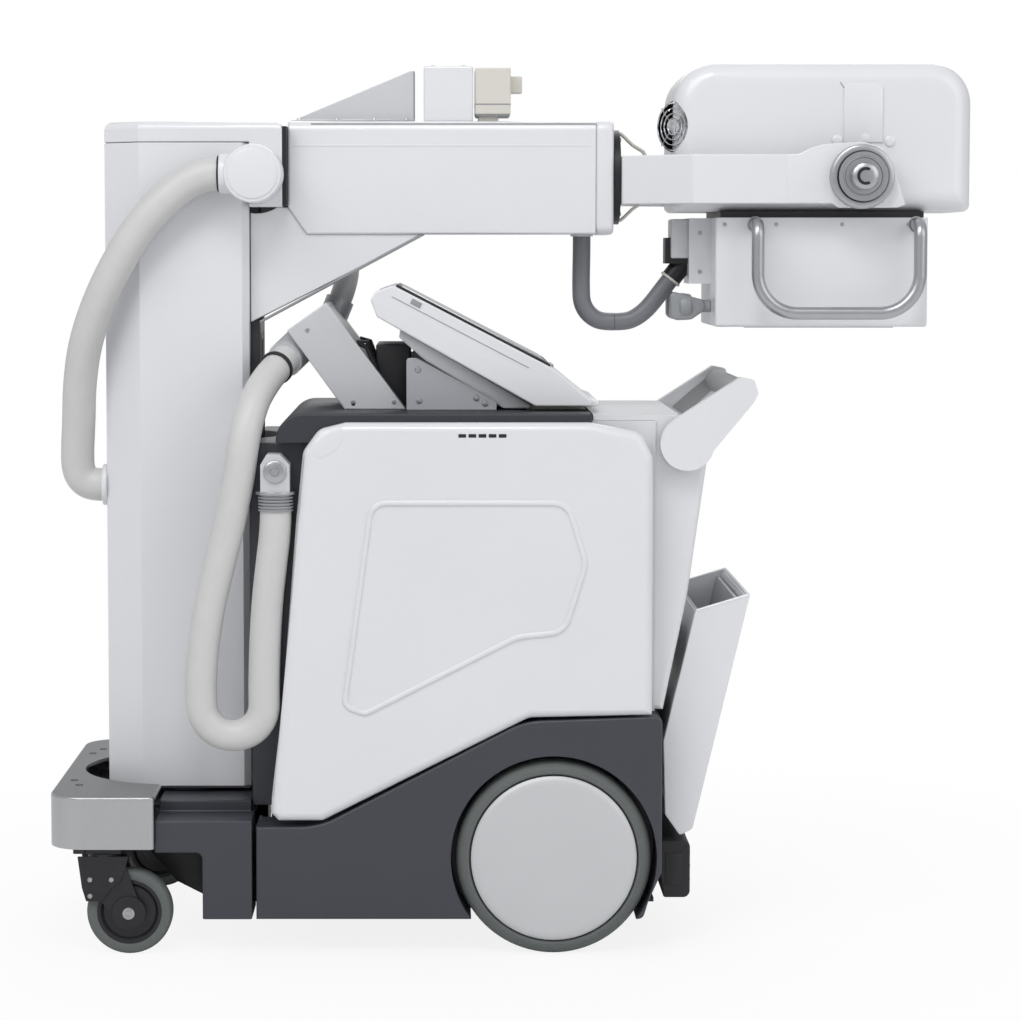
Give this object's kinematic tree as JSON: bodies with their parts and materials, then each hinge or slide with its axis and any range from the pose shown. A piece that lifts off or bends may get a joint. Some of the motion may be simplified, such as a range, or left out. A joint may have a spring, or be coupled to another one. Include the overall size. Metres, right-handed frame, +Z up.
{
  "type": "mobile x-ray machine",
  "caption": "Mobile x-ray machine: wheeled slate base, white console body, swivelling telescopic column, arm, yoke-held tube head with collimator box, hoses, push handle and cassette bin",
  "frame": {"origin": "On the floor under the middle of the machine, counting the rigid parts and not the hoses", "axes": "+X to the rear where the push handle is, the column and the casters at -X; the near side of the picture is -Y; +Z up"},
  "size_m": [1.356, 0.504, 1.301],
  "materials": {
    "body_shell": "satin off-white painted moulding with a fine orange-peel",
    "slate_shell": "dark slate blue-grey moulding, satin",
    "bumper_metal": "fine brushed silver metal",
    "steel": "plain grey painted steel",
    "guide_metal": "mid grey satin metal",
    "chrome_wire": "bright wire grille over a black can",
    "mast_dark": "dark anodised mast",
    "dark_plastic": "black satin plastic",
    "black_rubber": "black rubber",
    "hose_grey": "warm light grey smooth hose",
    "lead_grey": "mid grey smooth cable",
    "screen_glass": "dark glossy cover glass, opaque",
    "wheel_disc": "plain silver disc",
    "tyre_grey": "grey-green solid tyre"
  },
  "bodies": {
    "chassis": {"base_frame": "steel", "base_cover": "slate_shell", "front_block": "slate_shell", "front_bumper": "bumper_metal", "rear_bumper": "black_rubber", "rear_axle": "steel", "battery_pack": "dark_plastic", "generator": "steel", "drive_motors": "steel", "inner_body": "slate_shell", "deck": "slate_shell", "side_panel_near": "body_shell", "side_panel_far": "body_shell", "rear_cover": "body_shell", "cassette_bin": "body_shell", "hose_guide": "guide_metal", "monitor_housing": "body_shell", "monitor_glass": "screen_glass", "monitor_bracket": "guide_metal", "hose_fittings": "bumper_metal", "supply_hose": "hose_grey", "link_hose": "hose_grey"},
    "column": {"turntable_ring": "slate_shell", "column_cover": "body_shell", "mast_rails": "steel", "hose_glands": "dark_plastic", "riser_hose": "hose_grey"},
    "mast": {"lift_mast": "mast_dark", "mast_cap": "body_shell", "hose_drum": "body_shell", "arm_beam": "steel", "arm_housing": "body_shell", "arm_end_ring": "body_shell", "gusset": "body_shell", "brace_plate": "guide_metal", "rest_block": "body_shell", "rest_catch": "body_shell", "head_lead_arm": "lead_grey"},
    "yoke": {"roll_flange": "dark_plastic", "yoke": "body_shell", "pivot_rings": "guide_metal", "head_lead_yoke": "lead_grey"},
    "head": {"head_housing": "body_shell", "fan_unit": "chrome_wire", "tilt_pins": "bumper_metal", "collimator_box": "body_shell", "lead_socket": "dark_plastic", "grab_bars": "bumper_metal"},
    "tilt_knob": {"tilt_knob": "body_shell"},
    "field_knob_near": {"field_knob_near": "guide_metal"},
    "field_knob_far": {"field_knob_far": "guide_metal"},
    "push_handle": {"push_handle": "body_shell"},
    "caster_fork_near": {"caster_fork_near": "dark_plastic"},
    "caster_fork_far": {"caster_fork_far": "dark_plastic"},
    "caster_wheel_near": {"caster_wheel_near": "tyre_grey"},
    "caster_wheel_far": {"caster_wheel_far": "tyre_grey"},
    "rear_wheel_near": {"rear_wheel_near": "wheel_disc", "rear_tyre_near": "tyre_grey"},
    "rear_wheel_far": {"rear_wheel_far": "wheel_disc", "rear_tyre_far": "tyre_grey"}
  },
  "joints": [
    {"name": "column_swivel", "type": "hinge", "parent": "chassis", "child": "column", "pos_m": [-0.5, 0, 0.212], "axis": [0, 0, 1], "range_deg": [-90, 90], "deforming": ["link_hose"]},
    {"name": "mast_lift", "type": "slide", "parent": "column", "child": "mast", "axis": [0, 0, 1], "range_m": [0, 0.6], "deforming": ["riser_hose"]},
    {"name": "yoke_roll", "type": "hinge", "parent": "mast", "child": "yoke", "pos_m": [0.151, 0, 1.134], "axis": [1, 0, 0], "range_deg": [-90, 90], "deforming": ["head_lead_arm"]},
    {"name": "head_tilt", "type": "hinge", "parent": "yoke", "child": "head", "pos_m": [0.507, 0, 1.131], "axis": [0, 1, 0], "range_deg": [-100, 6], "deforming": ["head_lead_yoke"]},
    {"name": "tilt_knob_turn", "type": "hinge", "parent": "head", "child": "tilt_knob", "pos_m": [0.507, -0.19, 1.131], "axis": [0, -1, 0], "range_deg": [0, 180]},
    {"name": "field_knob_near_turn", "type": "hinge", "parent": "head", "child": "field_knob_near", "pos_m": [0.299, -0.036, 0.94], "axis": [1, 0, 0], "range_deg": [-45, 45]},
    {"name": "field_knob_far_turn", "type": "hinge", "parent": "head", "child": "field_knob_far", "pos_m": [0.299, 0.036, 0.94], "axis": [1, 0, 0], "range_deg": [-45, 45]},
    {"name": "push_handle_rock", "type": "hinge", "parent": "chassis", "child": "push_handle", "pos_m": [0.25, 0, 0.745], "axis": [0, 1, 0], "range_deg": [-3, 3], "stiffness_Nm_per_rad": 900},
    {"name": "caster_swivel_near", "type": "hinge", "parent": "chassis", "child": "caster_fork_near", "pos_m": [-0.597, -0.222, 0.15], "axis": [0, 0, 1], "continuous": true},
    {"name": "caster_roll_near", "type": "hinge", "parent": "caster_fork_near", "child": "caster_wheel_near", "pos_m": [-0.56, -0.222, 0.0625], "axis": [0, 1, 0], "continuous": true},
    {"name": "caster_swivel_far", "type": "hinge", "parent": "chassis", "child": "caster_fork_far", "pos_m": [-0.597, 0.222, 0.15], "axis": [0, 0, 1], "continuous": true},
    {"name": "caster_roll_far", "type": "hinge", "parent": "caster_fork_far", "child": "caster_wheel_far", "pos_m": [-0.56, 0.222, 0.0625], "axis": [0, 1, 0], "continuous": true},
    {"name": "rear_wheel_near_roll", "type": "hinge", "parent": "chassis", "child": "rear_wheel_near", "pos_m": [0.058, -0.21, 0.142], "axis": [0, 1, 0], "continuous": true},
    {"name": "rear_wheel_far_roll", "type": "hinge", "parent": "chassis", "child": "rear_wheel_far", "pos_m": [0.058, 0.21, 0.142], "axis": [0, 1, 0], "continuous": true}
  ]
}
